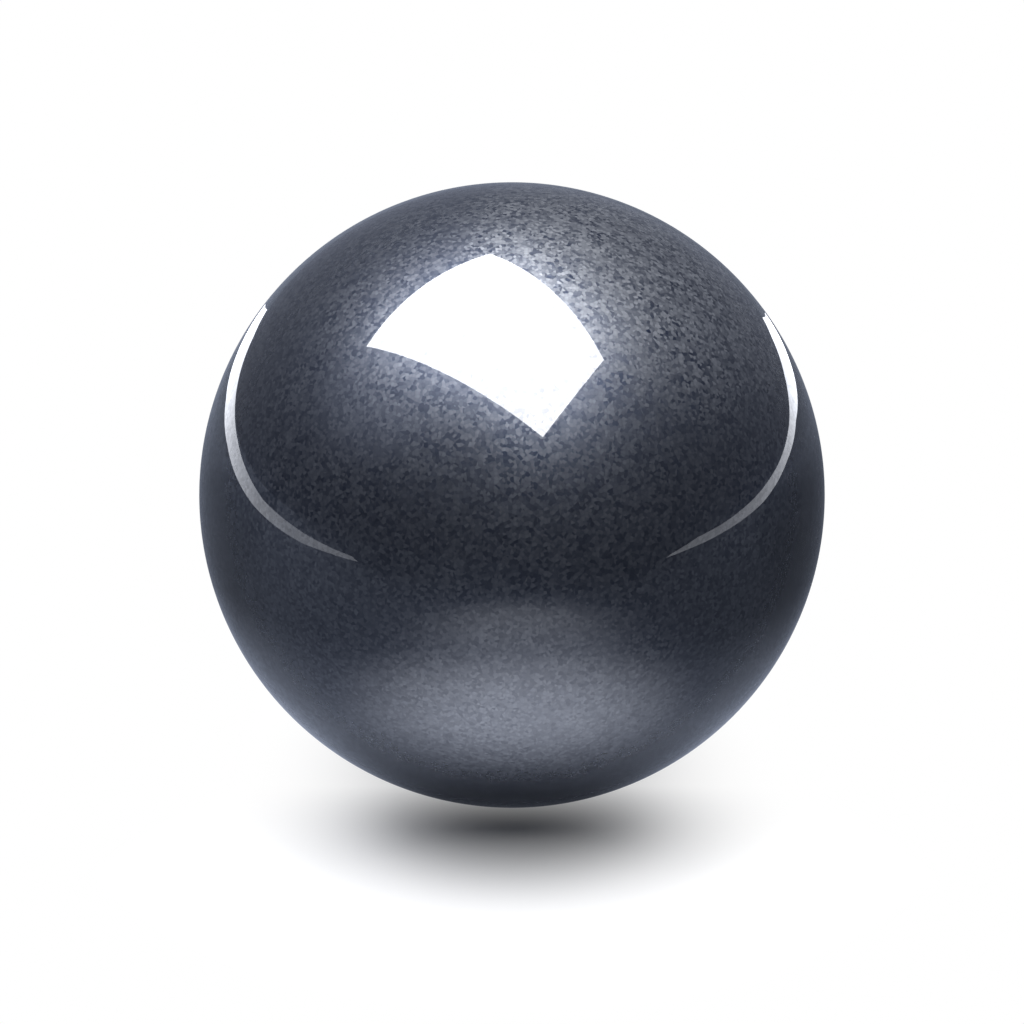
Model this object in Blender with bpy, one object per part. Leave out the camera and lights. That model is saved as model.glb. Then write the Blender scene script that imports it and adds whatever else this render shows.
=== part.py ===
"""A plain cast-resin pool ball, poured in two stages round a core.

Every piece is turned about Z, and the origin is the ball's centre. A locating pin held the core in the
middle of the mould while the flecked outer layer was poured round both. The pin stays in the ball, and its
outer end is ground flush with the surface at the bottom, where the ball stands on the table.
"""

import itertools
import math

import bmesh
import bpy

# Driving dimensions, in metres.
BALL_DIAMETER = 0.05715
OUTER_LAYER_THICKNESS = 0.0065
PIN_DIAMETER = 0.0050
PIN_SOCKET_DEPTH = 0.0080
PIN_CHAMFER = 0.0006
JOINT_GAP = 0.0003  # kept between two castings that are bonded on the real ball

BALL_RADIUS = BALL_DIAMETER / 2
CAVITY_RADIUS = BALL_RADIUS - OUTER_LAYER_THICKNESS
CORE_RADIUS = CAVITY_RADIUS - JOINT_GAP
PIN_RADIUS = PIN_DIAMETER / 2
HOLE_RADIUS = PIN_RADIUS + JOINT_GAP
SOCKET_TOP = PIN_SOCKET_DEPTH - CORE_RADIUS
PIN_TOP = SOCKET_TOP - JOINT_GAP

# Number of straight facets: round the axis, down each half of a sphere, and across the pin's outer end.
TURN_STEPS = 64
OUTER_ARC_STEPS = 16
INNER_ARC_STEPS = 10
PIN_END_STEPS = 2
MERGE_DISTANCE = 1e-6
SHARP_ABOVE = math.radians(30)

EQUATOR = math.pi / 2
BOTTOM = math.pi


def clear_scene():
    for old in list(bpy.data.objects):
        bpy.data.objects.remove(old)


def resin(name, colour, roughness, metallic):
    """The material of one casting."""
    material = bpy.data.materials.new(name)
    material.use_nodes = True
    shader = material.node_tree.nodes["Principled BSDF"]
    shader.inputs["Base Color"].default_value = (*colour, 1.0)
    shader.inputs["Roughness"].default_value = roughness
    shader.inputs["Metallic"].default_value = metallic
    return material


def arc(radius, start, end, steps):
    """Points (distance from axis, height) on a sphere's section, between two angles from its top."""
    angles = [start + (end - start) * step / steps for step in range(steps + 1)]
    return [(radius * math.sin(angle), radius * math.cos(angle)) for angle in angles]


def rim_angle(radius, rim_radius):
    """Angle from the top of a sphere to a round rim of the given radius near its bottom."""
    return math.pi - math.asin(rim_radius / radius)


def open_sphere(radius, rim_radius, steps):
    """A sphere's section from its top, through its equator, to a round opening at its bottom."""
    upper = arc(radius, 0.0, EQUATOR, steps)
    lower = arc(radius, EQUATOR, rim_angle(radius, rim_radius), steps)
    return upper + lower[1:]


def turned(name, section, material):
    """A closed solid turned about Z from a section that starts and ends on the axis."""
    shape = bmesh.new()
    points = [shape.verts.new((distance, 0.0, height)) for distance, height in section]
    lines = [shape.edges.new(ends) for ends in itertools.pairwise(points)]
    bmesh.ops.spin(
        shape,
        geom=points + lines,
        cent=(0.0, 0.0, 0.0),
        axis=(0.0, 0.0, 1.0),
        angle=2 * math.pi,
        steps=TURN_STEPS,
        use_merge=True,
    )
    bmesh.ops.remove_doubles(shape, verts=shape.verts, dist=MERGE_DISTANCE)
    bmesh.ops.recalc_face_normals(shape, faces=shape.faces)
    mesh = bpy.data.meshes.new(name)
    shape.to_mesh(mesh)
    shape.free()
    mesh.shade_smooth()
    mesh.set_sharp_from_angle(angle=SHARP_ABOVE)
    mesh.materials.append(material)
    piece = bpy.data.objects.new(name, mesh)
    bpy.context.scene.collection.objects.link(piece)
    return piece


def make_outer_layer():
    """The flecked layer that is poured last: a thick shell with a hole for the pin at the bottom."""
    flecked_resin = resin("flecked_resin", colour=(0.036, 0.041, 0.057), roughness=0.1, metallic=0.4)
    outside = open_sphere(BALL_RADIUS, HOLE_RADIUS, OUTER_ARC_STEPS)
    inside = open_sphere(CAVITY_RADIUS, HOLE_RADIUS, INNER_ARC_STEPS)
    return turned("outer_layer", outside + inside[::-1], flecked_resin)


def make_core():
    """The solid filled-resin centre, with a blind socket at the bottom for the pin."""
    core_resin = resin("core_resin", colour=(0.52, 0.49, 0.43), roughness=0.65, metallic=0.0)
    outside = open_sphere(CORE_RADIUS, HOLE_RADIUS, INNER_ARC_STEPS)
    socket = [(HOLE_RADIUS, SOCKET_TOP), (0.0, SOCKET_TOP)]
    return turned("core", outside + socket, core_resin)


def make_locating_pin():
    """The dowel from the core's socket to the surface, its outer end ground to the ball's curve."""
    pin_resin = resin("pin_resin", colour=(0.028, 0.032, 0.044), roughness=0.15, metallic=0.0)
    inner_end = [
        (0.0, PIN_TOP),
        (PIN_RADIUS - PIN_CHAMFER, PIN_TOP),
        (PIN_RADIUS, PIN_TOP - PIN_CHAMFER),
    ]
    outer_end = arc(BALL_RADIUS, rim_angle(BALL_RADIUS, PIN_RADIUS), BOTTOM, PIN_END_STEPS)
    return turned("locating_pin", inner_end + outer_end, pin_resin)


def make_ball():
    ball = bpy.data.objects.new("pool_ball", None)
    bpy.context.scene.collection.objects.link(ball)
    for piece in (make_outer_layer(), make_core(), make_locating_pin()):
        piece.parent = ball


clear_scene()
make_ball()
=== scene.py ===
"""A plain metal-flecked pool ball on a white studio floor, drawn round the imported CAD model.

The ball is three resin castings: a flecked outer layer, the core inside it, and the locating pin that
held the core in the mould. The fine pieces here stand for the faceted CAD solids, with the bonded joints
drawn as hairlines. Places in the studio are in ball radii from the ball's centre. The camera is on the -Y
side.
"""

import collections
import itertools
import math

import bmesh
import bpy
from mathutils import Matrix, Vector


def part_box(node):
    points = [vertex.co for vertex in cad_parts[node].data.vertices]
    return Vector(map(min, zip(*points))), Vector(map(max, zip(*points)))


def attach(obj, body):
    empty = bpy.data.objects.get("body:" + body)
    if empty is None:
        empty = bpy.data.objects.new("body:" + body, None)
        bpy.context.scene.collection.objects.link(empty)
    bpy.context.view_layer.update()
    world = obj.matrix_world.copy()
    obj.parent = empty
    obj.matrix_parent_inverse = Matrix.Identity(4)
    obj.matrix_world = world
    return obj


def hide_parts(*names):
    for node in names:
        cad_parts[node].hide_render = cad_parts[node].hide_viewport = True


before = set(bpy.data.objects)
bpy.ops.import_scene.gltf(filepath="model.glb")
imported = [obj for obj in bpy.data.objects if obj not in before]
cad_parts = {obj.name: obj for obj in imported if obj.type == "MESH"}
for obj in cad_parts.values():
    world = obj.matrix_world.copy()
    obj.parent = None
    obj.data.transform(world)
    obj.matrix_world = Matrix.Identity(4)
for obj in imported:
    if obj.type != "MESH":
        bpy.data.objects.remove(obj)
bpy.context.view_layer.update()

# A ramp turns a value between start and end into one between first and last. Past either it stays level.
Ramp = collections.namedtuple("Ramp", "first last start end", defaults=(0.0, 1.0))

# Sizes of the castings, from the CAD model.
LAYER_LOW, LAYER_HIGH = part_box("outer_layer")
CORE_LOW, CORE_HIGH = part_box("core")
PIN_LOW, PIN_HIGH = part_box("locating_pin")
RADIUS = (LAYER_HIGH.x - LAYER_LOW.x) / 2
CORE_RADIUS = (CORE_HIGH.x - CORE_LOW.x) / 2
PIN_RADIUS = (PIN_HIGH.x - PIN_LOW.x) / 2
PIN_TOP = PIN_HIGH.z
MM = 0.001

# Fine details of the castings.
JOINT_LINE = 0.03 * MM
EDGE_EASE = 0.04 * MM
PIN_CHAMFER = 0.6 * MM
BORE_RADIUS = PIN_RADIUS + JOINT_LINE

# Fineness of the visible surfaces.
TURN_STEPS = 288
QUARTER_STEPS = 72
PIN_END_STEPS = 12
EASE_STEPS = 4
MERGE_DISTANCE = 1e-7
SHARP_ABOVE = math.radians(40)

# Flecked resin. PAINTED_HIGHLIGHT_RAMP and TILT go by the cosine of the angle from
# PAINTED_HIGHLIGHT_DIRECTION, a direction from the ball's centre up and to the right. PAINTED_HIGHLIGHT_RAMP
# makes the flecks brighter on that side: a painted highlight for light that falls there. CLOUD and CLUMP
# turn a noise into how bright a patch is and how much its flecks differ. FLECK_PROFILE is a fleck's
# brightness from its middle outwards.
FLECK_SIZE = 0.31 * MM
CLOUD_SIZE = 7 * MM
CLUMP_SIZE = 4.5 * MM
PAINTED_HIGHLIGHT_DIRECTION = (0.44, -0.17, 0.88)
PAINTED_HIGHLIGHT_RAMP = Ramp(1.0, 4.0, 0.76, 1.0)
TILT = Ramp(0.01, 0.09, 0.65, 0.95)
CLOUD = Ramp(0.9, 1.1, 0.3, 0.7)
CLUMP = Ramp(0.85, 1.25, 0.35, 0.65)
FLECK_PROFILE = Ramp(1.2, 0.85, 0.0, 0.7)
AVERAGE_CHANCE = 0.5
DIM_FLECK = (0.021, 0.025, 0.037, 1.0)
BRIGHT_FLECK = (0.063, 0.068, 0.081, 1.0)
FLECK_TINT = (0.1, 0.1, 0.1, 1.0)
FLECK_ROUGHNESS = Ramp(0.40, 0.46)
COAT_WEIGHT = Ramp(0.78, 1.0)

# Core resin.
CORE_CLOUD_SIZE = 4 * MM
GRAIN_SIZE = 0.5 * MM
GRIT_SIZE = 0.25 * MM
GRIT_HEIGHT = 0.03 * MM
GRAIN_SHARE = Ramp(0.5, 0.0, 0.1, 0.3)
DARK_CREAM = (0.47, 0.44, 0.38, 1.0)
LIGHT_CREAM = (0.57, 0.54, 0.48, 1.0)
GRAIN_COLOUR = (0.34, 0.31, 0.26, 1.0)
CORE_ROUGHNESS = Ramp(0.6, 0.75)

# Pin resin.
FLOW_SIZE = 0.6 * MM
FLOW_STRETCH = (1.0, 1.0, 0.15)
FLOW_HEIGHT = 0.02 * MM
DARK_PIN = (0.022, 0.026, 0.037, 1.0)
LIGHT_PIN = (0.034, 0.038, 0.051, 1.0)
PIN_ROUGHNESS = Ramp(0.12, 0.22, 0.3, 0.7)

# Camera. It aims AIM_DROP below the ball's centre. Both distances are in ball radii.
LENS = 100.0
CAMERA_DISTANCE = 9.148
CAMERA_ELEVATION = math.radians(22)
AIM_DROP = 0.054

# Lights. A radiance of 1 shows as white.
SOFTBOX_RADIANCE = 17.0
CEILING_RADIANCE = 3.0
WHITE = (1.0, 1.0, 1.0, 1.0)
COOL = (0.97, 1.0, 1.08, 1.0)

# Sky that lights the ball: lighter behind it, and lightest high on its left.
BLUE_SKY = (0.9, 1.0, 1.3, 1.0)
BACK_DIRECTION = (0.0, 0.6, 0.8)
BACK_SKY = Ramp(0.1, 0.3, -0.1, 0.7)
LEFT_DIRECTION = (-0.6, -0.2, 0.77)
LEFT_SKY = Ramp(0.0, 0.5, 0.82, 1.0)

# Floor that the camera sees, up to where it turns white. The far paint is dark, so that it sends little
# light back to the ball. PAINTED_CONTACT_SHADOW darkens the paint round SHADOW_CORE, a painted shadow under
# the ball.
# Behind the line y = SHADOW_BACK, the shadow's end is measured only sideways.
FLOOR_HALF_SIDE = 40
NEAR_PAINT = (0.80, 0.79, 0.765, 1.0)
FAR_PAINT = (0.06, 0.06, 0.06, 1.0)
PAINT_FADE = Ramp(0.0, 1.0, 1.6, 4.5)
SHADOW_CORE = (0.0, -0.3, 0.0)
SHADOW_MIDDLE = (0.0, -1.15, 0.0)
SHADOW_BACK = -0.1
PAINTED_CONTACT_SHADOW = Ramp(0.85, 1.12, 0.2, 0.6)
SHADOW_END = Ramp(0.0, 1.0, 0.71, 1.41)
PAINT_END = Ramp(0.0, 1.0, 0.9, 1.5)

# Floor that the ball reflects: a dim ring round the shadow, and a faint glow far behind the ball.
BLUE_FLOOR = (0.9, 1.02, 1.32, 1.0)
NEAR_FLOOR = Ramp(0.1, 1.0, 0.2, 0.95)
FAR_FLOOR = Ramp(0.52, 0.23, 0.9, 2.2)
LEFT_TO_RIGHT = Ramp(1.4, 0.8, -3.0, 2.0)
FRONT_FADE = Ramp(0.45, 1.0, -7.0, -2.5)
BACK_FADE = Ramp(1.0, 0.7, -0.3, 0.5)
HORIZON = Ramp(0.0, 0.1, 2.5, 5.0)

# Glow over the floor in front of the ball, on a panel just above it.
GLOW_HEIGHT = -0.985
GLOW_HALF_WIDTH = 3
GLOW_LENGTH = 6
OWN_SHADOW = Ramp(0.0, 1.0, 0.64, 1.24)

# Side strips, on upright planes. STRIP_SLANT is how much nearer a plane comes per radius behind the ball.
STRIP_DISTANCE = 3.1
STRIP_SLANT = 0.575
STRIP_BACK = Ramp(0.0, 1.0, -1.5, 1.5)
STRIP_RADIANCE = Ramp(1.5, 4.6)

# Outlines of the side strips: (distance behind the ball's centre, height), from the front end along the
# lower edge, then back along the upper edge.
LEFT_STRIP = [
    (-4.6, -0.82), (-2.7, -0.54), (-1.4, -0.38), (0.0, -0.14), (1.0, 0.07), (1.63, 0.13), (2.26, 0.07),
    (2.8, -0.02), (2.93, 0.0), (2.7, 0.18), (2.37, 0.46), (1.98, 0.5), (1.31, 0.37), (0.75, 0.26),
    (-0.21, 0.02), (-0.7, -0.05), (-4.07, -0.6),
]
RIGHT_STRIP = [
    (-4.6, -0.66), (-2.75, -0.37), (-1.2, -0.16), (-0.15, -0.03), (0.6, 0.11), (1.24, 0.18), (1.63, 0.14),
    (2.2, 0.07), (2.76, -0.05), (2.86, -0.02), (2.62, 0.15), (2.31, 0.42), (2.02, 0.46), (1.56, 0.42),
    (1.06, 0.31), (0.44, 0.21), (-0.32, 0.11), (-1.35, -0.01), (-2.4, -0.12), (-4.07, -0.49),
]


# ---------------------------------------------------------------- shapes


def arc(radius, start, end, steps):
    """Points (distance from axis, height) on a sphere's section, between two angles from its top."""
    angles = [start + (end - start) * step / steps for step in range(steps + 1)]
    return [(radius * math.sin(angle), radius * math.cos(angle)) for angle in angles]


def rim_angle(radius, rim_radius):
    """Angle from the top of a sphere to a round rim of the given radius near its bottom."""
    return math.pi - math.asin(rim_radius / radius)


def open_sphere(radius, rim_radius, steps):
    """A sphere's section from its top to a round rim near its bottom."""
    lower = arc(radius, math.pi / 2, rim_angle(radius, rim_radius), steps)
    return arc(radius, 0.0, math.pi / 2, steps) + lower[1:]


def add_object(name, data):
    made = bpy.data.objects.new(name, data)
    bpy.context.scene.collection.objects.link(made)
    return made


def turned(name, section, material):
    """A closed smooth piece turned about Z, from a section that starts and ends on the axis."""
    shape = bmesh.new()
    points = [shape.verts.new((distance, 0.0, height)) for distance, height in section]
    lines = [shape.edges.new(ends) for ends in itertools.pairwise(points)]
    bmesh.ops.spin(
        shape,
        geom=points + lines,
        cent=(0.0, 0.0, 0.0),
        axis=(0.0, 0.0, 1.0),
        angle=2 * math.pi,
        steps=TURN_STEPS,
        use_merge=True,
    )
    bmesh.ops.remove_doubles(shape, verts=shape.verts, dist=MERGE_DISTANCE)
    bmesh.ops.recalc_face_normals(shape, faces=shape.faces)
    mesh = bpy.data.meshes.new(name)
    shape.to_mesh(mesh)
    shape.free()
    mesh.shade_smooth()
    mesh.set_sharp_from_angle(angle=SHARP_ABOVE)
    mesh.materials.append(material)
    return add_object(name, mesh)


# ---------------------------------------------------------------- materials


def feed(tree, socket, value):
    """Gives a socket a plain value, or links it to the socket that drives it."""
    if isinstance(value, bpy.types.NodeSocket):
        tree.links.new(value, socket)
    else:
        socket.default_value = value


def add_node(tree, kind, inputs=None, **settings):
    """A new node, with values or driving sockets for its inputs."""
    made = tree.nodes.new(kind)
    for name, value in settings.items():
        setattr(made, name, value)
    for name, value in (inputs or {}).items():
        feed(tree, made.inputs[name], value)
    return made


def vector_math(tree, operation, *inputs):
    return add_node(tree, "ShaderNodeVectorMath", dict(enumerate(inputs)), operation=operation)


def scaled(tree, vector, factor):
    node = add_node(tree, "ShaderNodeVectorMath", {0: vector, "Scale": factor}, operation="SCALE")
    return node.outputs[0]


def mapped(tree, value, ramp, interpolation="LINEAR"):
    """What the ramp turns value into."""
    spans = {"From Min": ramp.start, "From Max": ramp.end, "To Min": ramp.first, "To Max": ramp.last}
    inputs = {"Value": value, **spans}
    node = add_node(tree, "ShaderNodeMapRange", inputs, interpolation_type=interpolation)
    return node.outputs["Result"]


def blended(tree, factor, first, second):
    """The colour between first and second, and past second where factor is over 1."""
    inputs = {"Factor": factor, "A": first, "B": second}
    node = add_node(tree, "ShaderNodeMix", inputs, data_type="RGBA", clamp_factor=False)
    return node.outputs["Result"]


def product(tree, first, second):
    return add_node(tree, "ShaderNodeMath", {0: first, 1: second}, operation="MULTIPLY").outputs[0]


def total(tree, first, second):
    return add_node(tree, "ShaderNodeMath", {0: first, 1: second}, operation="ADD").outputs[0]


def larger(tree, first, second):
    return add_node(tree, "ShaderNodeMath", {0: first, 1: second}, operation="MAXIMUM").outputs[0]


def mixed(tree, factor, first, second):
    """The shader between first and second."""
    inputs = {0: factor, 1: first.outputs[0], 2: second.outputs[0]}
    return add_node(tree, "ShaderNodeMixShader", inputs)


def noise(tree, place, size, detail=2.0):
    inputs = {"Vector": place, "Scale": 1 / size, "Detail": detail}
    return add_node(tree, "ShaderNodeTexNoise", inputs).outputs["Fac"]


def new_material(name):
    """A material, its node tree, its Principled BSDF and the place on the object."""
    material = bpy.data.materials.new(name)
    material.use_nodes = True
    tree = material.node_tree
    place = add_node(tree, "ShaderNodeTexCoord").outputs["Object"]
    return material, tree, tree.nodes["Principled BSDF"], place


def set_inputs(tree, shader, **values):
    """Sets or links the shader's sockets, named with _ for each space."""
    for name, value in values.items():
        feed(tree, shader.inputs[name.replace("_", " ")], value)


def flecked_resin():
    """Fine aluminium flecks in dark blue-grey resin, under a polished clear surface.

    Each Voronoi cell is one fleck, brightest in its middle, with its own brightness and a slight tilt of
    its own. Some patches are more lively than others, as where real flecks clump.
    """
    material, tree, shader, place = new_material("flecked_resin")
    cells = add_node(tree, "ShaderNodeTexVoronoi", {"Vector": place, "Scale": 1 / FLECK_SIZE})
    chance = add_node(tree, "ShaderNodeSeparateColor", {0: cells.outputs["Color"]})
    outward = vector_math(tree, "NORMALIZE", place).outputs[0]
    side = vector_math(tree, "DOT_PRODUCT", outward, PAINTED_HIGHLIGHT_DIRECTION).outputs["Value"]
    # Painted highlight: the flecks are made brighter on the ball's upper right.
    painted_highlight = mapped(tree, side, PAINTED_HIGHLIGHT_RAMP, "SMOOTHSTEP")
    cloud = mapped(tree, noise(tree, place, CLOUD_SIZE), CLOUD)
    clump = mapped(tree, noise(tree, place, CLUMP_SIZE), CLUMP)
    difference = total(tree, chance.outputs["Red"], -AVERAGE_CHANCE)
    spread = total(tree, product(tree, difference, clump), AVERAGE_CHANCE)
    profile = mapped(tree, cells.outputs["Distance"], FLECK_PROFILE)
    shine = product(tree, product(tree, spread, profile), product(tree, cloud, painted_highlight))

    average = (AVERAGE_CHANCE, AVERAGE_CHANCE, AVERAGE_CHANCE)
    centred = vector_math(tree, "SUBTRACT", cells.outputs["Color"], average).outputs[0]
    surface = add_node(tree, "ShaderNodeNewGeometry").outputs["Normal"]
    tilt = mapped(tree, side, TILT, "SMOOTHSTEP")
    tilted = vector_math(tree, "ADD", surface, scaled(tree, centred, tilt)).outputs[0]
    set_inputs(
        tree,
        shader,
        Base_Color=blended(tree, shine, DIM_FLECK, BRIGHT_FLECK),
        Metallic=0.94,
        Specular_Tint=FLECK_TINT,
        Roughness=mapped(tree, chance.outputs["Green"], FLECK_ROUGHNESS),
        Coat_Weight=mapped(tree, chance.outputs["Blue"], COAT_WEIGHT),
        Coat_Roughness=0.012,
        Coat_IOR=1.6,
        Normal=vector_math(tree, "NORMALIZE", tilted).outputs[0],
    )
    return material


def core_resin():
    """Cream resin filled with chalky powder, matt as it left the mould."""
    material, tree, shader, place = new_material("core_resin")
    cloud = noise(tree, place, CORE_CLOUD_SIZE, detail=4.0)
    grains = add_node(tree, "ShaderNodeTexVoronoi", {"Vector": place, "Scale": 1 / GRAIN_SIZE})
    grain_share = mapped(tree, grains.outputs["Distance"], GRAIN_SHARE)
    body = blended(tree, cloud, DARK_CREAM, LIGHT_CREAM)
    grit = noise(tree, place, GRIT_SIZE, detail=5.0)
    bump = add_node(tree, "ShaderNodeBump", {"Height": grit, "Strength": 0.4, "Distance": GRIT_HEIGHT})
    set_inputs(
        tree,
        shader,
        Base_Color=blended(tree, grain_share, body, GRAIN_COLOUR),
        Roughness=mapped(tree, cloud, CORE_ROUGHNESS),
        Normal=bump.outputs["Normal"],
    )
    return material


def pin_resin():
    """Dark resin without flecks, with faint flow marks along the pin."""
    material, tree, shader, place = new_material("pin_resin")
    along = add_node(tree, "ShaderNodeMapping", {"Vector": place, "Scale": FLOW_STRETCH})
    flow = noise(tree, along.outputs[0], FLOW_SIZE, detail=3.0)
    bump = add_node(tree, "ShaderNodeBump", {"Height": flow, "Strength": 0.15, "Distance": FLOW_HEIGHT})
    set_inputs(
        tree,
        shader,
        Base_Color=blended(tree, flow, DARK_PIN, LIGHT_PIN),
        Roughness=mapped(tree, flow, PIN_ROUGHNESS),
        Normal=bump.outputs["Normal"],
    )
    return material


# ---------------------------------------------------------------- pieces


def place_piece(piece, node):
    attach(piece, "root")
    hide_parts(node)
    return piece


def make_outer_layer():
    """The polished flecked layer, open at the bottom for the pin."""
    outside = open_sphere(RADIUS, BORE_RADIUS + EDGE_EASE, QUARTER_STEPS)
    inside = open_sphere(CORE_RADIUS + JOINT_LINE, BORE_RADIUS, QUARTER_STEPS // 2)
    piece = turned("outer_layer_fine", outside + inside[::-1], flecked_resin())
    return place_piece(piece, "outer_layer")


def make_core():
    """The matt core, with its blind socket for the pin."""
    outside = open_sphere(CORE_RADIUS, BORE_RADIUS, QUARTER_STEPS // 2)
    socket_top = PIN_TOP + JOINT_LINE
    socket = [(BORE_RADIUS, socket_top), (0.0, socket_top)]
    piece = turned("core_fine", outside + socket, core_resin())
    return place_piece(piece, "core")


def make_locating_pin():
    """The pin from the core's socket to the surface, its end polished with the ball."""
    shoulder = PIN_RADIUS - PIN_CHAMFER
    inner_end = [(0.0, PIN_TOP)]
    for step in range(EASE_STEPS + 1):
        turn = math.pi / 2 * step / EASE_STEPS
        reach = shoulder + PIN_CHAMFER * math.sin(turn)
        inner_end.append((reach, PIN_TOP - PIN_CHAMFER * (1 - math.cos(turn))))
    outer_end = arc(RADIUS, rim_angle(RADIUS, PIN_RADIUS - EDGE_EASE), math.pi, PIN_END_STEPS)
    edge = (PIN_RADIUS, outer_end[0][1] + EDGE_EASE)
    piece = turned("locating_pin_fine", inner_end + [edge] + outer_end, pin_resin())
    return place_piece(piece, "locating_pin")


# ---------------------------------------------------------------- studio


def group(name, *members):
    """A collection that a light is linked to, so that it lights nothing else."""
    collection = bpy.data.collections.new(name)
    for member in members:
        collection.objects.link(member)
    return collection


def limit(light, lit):
    """Hides a light from the camera, and lets it light only the collection lit."""
    light.visible_camera = False
    light.light_linking.receiver_collection = lit


def area_light(name, radiance, centre, across, along, lit):
    """An evenly bright rectangle with sides across and along, which shines along their cross product."""
    across, along = Vector(across) * RADIUS, Vector(along) * RADIUS
    light = bpy.data.lights.new(name, "AREA")
    light.shape = "RECTANGLE"
    light.size = across.length
    light.size_y = along.length
    light.energy = radiance * math.pi * light.size * light.size_y
    x, y = across.normalized(), -along.normalized()
    turn = Matrix((x, y, x.cross(y))).transposed().to_4x4()
    panel = add_object(name, light)
    panel.matrix_world = Matrix.Translation(Vector(centre) * RADIUS) @ turn
    limit(panel, lit)


def stage_material(name):
    """A material, its empty node tree and the place on the object in ball radii."""
    material = bpy.data.materials.new(name)
    material.use_nodes = True
    tree = material.node_tree
    tree.nodes.clear()
    place = scaled(tree, add_node(tree, "ShaderNodeTexCoord").outputs["Object"], 1 / RADIUS)
    return material, tree, place


def stage_face(name, corners, material):
    """A stage object with one flat face, from its corners in ball radii."""
    mesh = bpy.data.meshes.new(name)
    mesh.from_pydata([Vector(corner) * RADIUS for corner in corners], [], [range(len(corners))])
    mesh.materials.append(material)
    face = add_object(name, mesh)
    return face


def glow_panel(name, corners, strength, lit):
    """A see-through panel that glows, with the radiance that strength(tree, place) gives."""
    material, tree, place = stage_material(name)
    glow = add_node(tree, "ShaderNodeEmission", {"Color": COOL, "Strength": strength(tree, place)})
    clear = add_node(tree, "ShaderNodeBsdfTransparent")
    both = add_node(tree, "ShaderNodeAddShader", {0: glow.outputs[0], 1: clear.outputs[0]})
    add_node(tree, "ShaderNodeOutputMaterial", {"Surface": both.outputs[0]})
    limit(stage_face(name, corners, material), lit)


def flattened(tree, place):
    """place without its height."""
    return vector_math(tree, "MULTIPLY", place, (1, 1, 0)).outputs[0]


def spot(tree, place, centre, spread, radiance):
    """The radiance of a round or oval glow that fades from its centre to nothing at spread."""
    offset = vector_math(tree, "SUBTRACT", place, centre).outputs[0]
    share = vector_math(tree, "DIVIDE", offset, spread).outputs[0]
    reach = vector_math(tree, "LENGTH", share).outputs["Value"]
    return mapped(tree, reach, Ramp(radiance, 0.0), "SMOOTHERSTEP")


def slanted(side, outline):
    """The corners of a side strip, on an upright plane that closes in behind the ball."""
    return [(side * (STRIP_DISTANCE - STRIP_SLANT * y), y, z) for y, z in outline]


def strip_strength(tree, place):
    """The radiance of a side strip, brighter towards the back."""
    y = add_node(tree, "ShaderNodeSeparateXYZ", {0: place}).outputs["Y"]
    share = mapped(tree, y, STRIP_BACK)
    return mapped(tree, product(tree, share, share), STRIP_RADIANCE)


def floor_glow(tree, place):
    """The radiance of the lit floor in front of the ball, which fades into the ball's own shadow."""
    flat = flattened(tree, place)
    reach = vector_math(tree, "LENGTH", flat).outputs["Value"]
    near = spot(tree, flat, centre=(0.03, -1.3, 0.0), spread=(1.6, 1.2, 1.0), radiance=1.9)
    far = spot(tree, flat, centre=(0.1, -3.0, 0.0), spread=(2.2, 2.6, 1.0), radiance=0.9)
    return product(tree, total(tree, near, far), mapped(tree, reach, OWN_SHADOW, "SMOOTHSTEP"))


def make_camera():
    camera = add_object("camera", bpy.data.cameras.new("camera"))
    camera.data.lens = LENS
    camera.data.clip_start = 0.01
    back = Vector((0, -math.cos(CAMERA_ELEVATION), math.sin(CAMERA_ELEVATION)))
    up = Vector((0, math.sin(CAMERA_ELEVATION), math.cos(CAMERA_ELEVATION)))
    camera.location = back * CAMERA_DISTANCE * RADIUS
    aim = -up * AIM_DROP * RADIUS - camera.location
    camera.rotation_euler = aim.to_track_quat("-Z", "Y").to_euler()
    bpy.context.scene.camera = camera


def make_world():
    """White to the camera, and a dim bluish sky to everything else."""
    world = bpy.data.worlds.new("studio")
    world.use_nodes = True
    tree = world.node_tree
    tree.nodes.clear()
    seen = add_node(tree, "ShaderNodeLightPath").outputs["Is Camera Ray"]
    white = add_node(tree, "ShaderNodeBackground", {"Color": WHITE})
    direction = add_node(tree, "ShaderNodeTexCoord").outputs["Generated"]
    behind = vector_math(tree, "DOT_PRODUCT", direction, BACK_DIRECTION).outputs["Value"]
    leftward = vector_math(tree, "DOT_PRODUCT", direction, LEFT_DIRECTION).outputs["Value"]
    back_sky = mapped(tree, behind, BACK_SKY, "SMOOTHSTEP")
    left_sky = mapped(tree, leftward, LEFT_SKY, "SMOOTHSTEP")
    sky = total(tree, back_sky, left_sky)
    dim = add_node(tree, "ShaderNodeBackground", {"Color": BLUE_SKY, "Strength": sky})
    both = mixed(tree, seen, dim, white)
    add_node(tree, "ShaderNodeOutputWorld", {0: both.outputs[0]})
    bpy.context.scene.world = world


def floor_paint(tree, reach, from_core):
    """The floor's colour: pale near the ball, darkened in the shadow's core by a painted shadow, dark far
    away.
    """
    fade = mapped(tree, reach, PAINT_FADE, "SMOOTHSTEP")
    paint = blended(tree, fade, NEAR_PAINT, FAR_PAINT)
    return scaled(tree, paint, mapped(tree, from_core, PAINTED_CONTACT_SHADOW, "SMOOTHSTEP"))


def floor_whiteness(tree, flat, reach):
    """How far the floor glows white, from 0 in the shadow to 1: the glow paints the shadow's outer edge."""
    back_corner = (FLOOR_HALF_SIDE, SHADOW_BACK, 0.0)
    in_front = vector_math(tree, "MINIMUM", flat, back_corner).outputs[0]
    from_middle = vector_math(tree, "DISTANCE", in_front, SHADOW_MIDDLE).outputs["Value"]
    shadow_end = mapped(tree, from_middle, SHADOW_END, "SMOOTHSTEP")
    return larger(tree, shadow_end, mapped(tree, reach, PAINT_END, "SMOOTHSTEP"))


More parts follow.
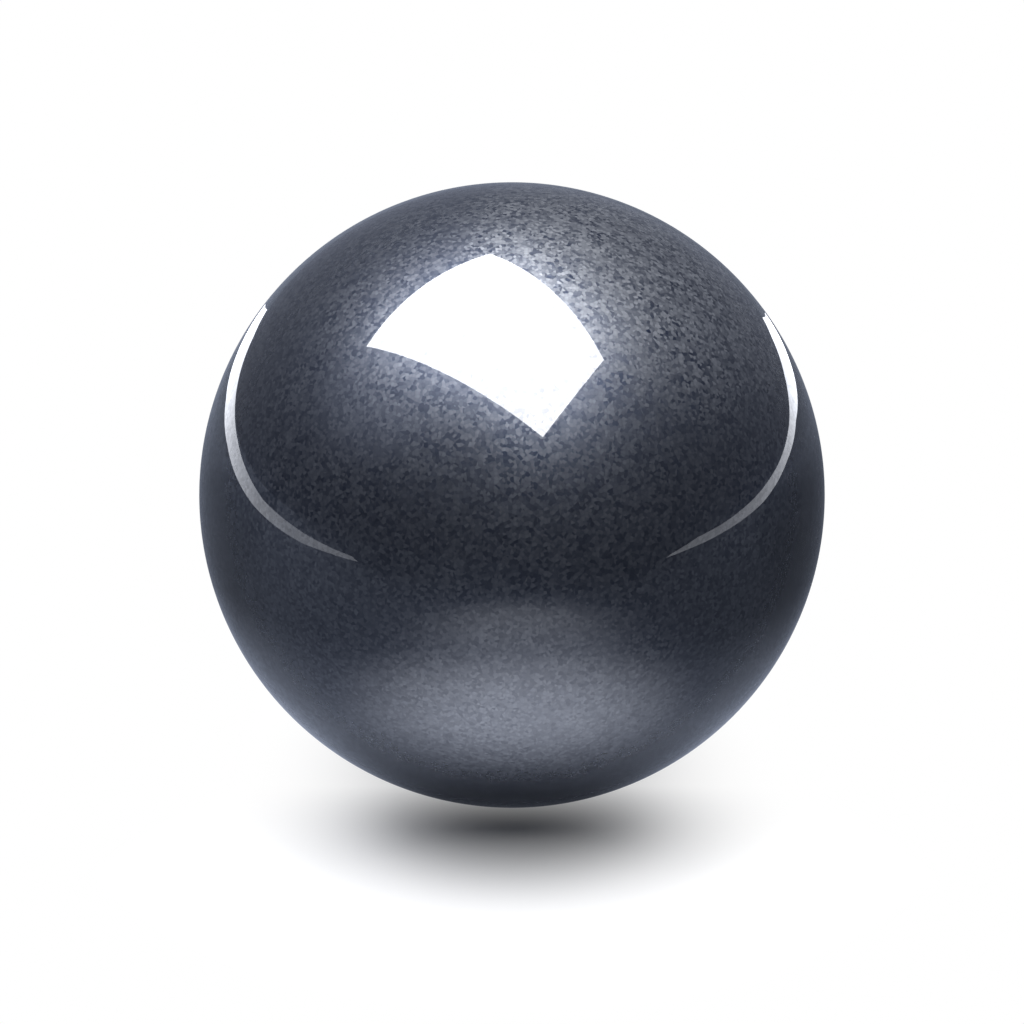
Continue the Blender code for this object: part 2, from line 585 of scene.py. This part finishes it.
def reflected_floor(tree, flat, reach, from_core):
    """The radiance of the floor that the ball reflects."""
    near = mapped(tree, from_core, NEAR_FLOOR, "SMOOTHSTEP")
    far = mapped(tree, reach, FAR_FLOOR, "SMOOTHSTEP")
    sides = add_node(tree, "ShaderNodeSeparateXYZ", {0: flat})
    left_to_right = mapped(tree, sides.outputs["X"], LEFT_TO_RIGHT)
    front_fade = mapped(tree, sides.outputs["Y"], FRONT_FADE, "SMOOTHSTEP")
    back_fade = mapped(tree, sides.outputs["Y"], BACK_FADE)
    horizon = mapped(tree, sides.outputs["Y"], HORIZON, "SMOOTHSTEP")
    fades = product(tree, left_to_right, product(tree, front_fade, back_fade))
    ring = product(tree, product(tree, near, far), fades)
    return total(tree, ring, horizon)


def make_floor():
    """A pale floor that turns into the white background where the ball's shadow ends.

    Glossy reflections see a dim glow in its place.
    """
    material, tree, place = stage_material("floor")
    flat = flattened(tree, place)
    reach = vector_math(tree, "LENGTH", flat).outputs["Value"]
    from_core = vector_math(tree, "DISTANCE", flat, SHADOW_CORE).outputs["Value"]
    matt = add_node(tree, "ShaderNodeBsdfDiffuse", {"Color": floor_paint(tree, reach, from_core)})
    white = add_node(tree, "ShaderNodeEmission", {"Color": WHITE})
    seen = add_node(tree, "ShaderNodeLightPath")
    beyond = product(tree, floor_whiteness(tree, flat, reach), seen.outputs["Is Camera Ray"])
    to_camera = mixed(tree, beyond, matt, white)
    strength = reflected_floor(tree, flat, reach, from_core)
    dim = add_node(tree, "ShaderNodeEmission", {"Color": BLUE_FLOOR, "Strength": strength})
    both = mixed(tree, seen.outputs["Is Glossy Ray"], to_camera, dim)
    add_node(tree, "ShaderNodeOutputMaterial", {0: both.outputs[0]})
    side = FLOOR_HALF_SIDE
    corners = [(-side, -side, -1), (side, -side, -1), (side, side, -1), (-side, side, -1)]
    return stage_face("floor", corners, material)


def make_lights(ball, floor):
    on_ball = group("lit_ball", *ball)
    on_floor = group("lit_floor", floor)
    area_light(
        "softbox",
        SOFTBOX_RADIANCE,
        centre=(0.24, -1.11, 5.10),
        across=(2.587, 2.686, 2.541),
        along=(4.266, -4.515, 0.515),
        lit=on_ball,
    )
    area_light(
        "ceiling",
        CEILING_RADIANCE,
        centre=(0, 0.75, 11),
        across=(27.8, 0, 0),
        along=(0, -27.2, 0),
        lit=on_floor,
    )
    glow_panel("strip_left", slanted(-1, LEFT_STRIP), strip_strength, on_ball)
    glow_panel("strip_right", slanted(1, RIGHT_STRIP), strip_strength, on_ball)
    outline = [
        (-GLOW_HALF_WIDTH, -GLOW_LENGTH),
        (GLOW_HALF_WIDTH, -GLOW_LENGTH),
        (GLOW_HALF_WIDTH, 0),
        (-GLOW_HALF_WIDTH, 0),
    ]
    glow_panel("floor_glow", [(x, y, GLOW_HEIGHT) for x, y in outline], floor_glow, on_ball)


make_camera()
ball = [make_outer_layer(), make_core(), make_locating_pin()]
make_lights(ball, make_floor())
make_world()
bpy.context.scene.view_settings.view_transform = "Standard"
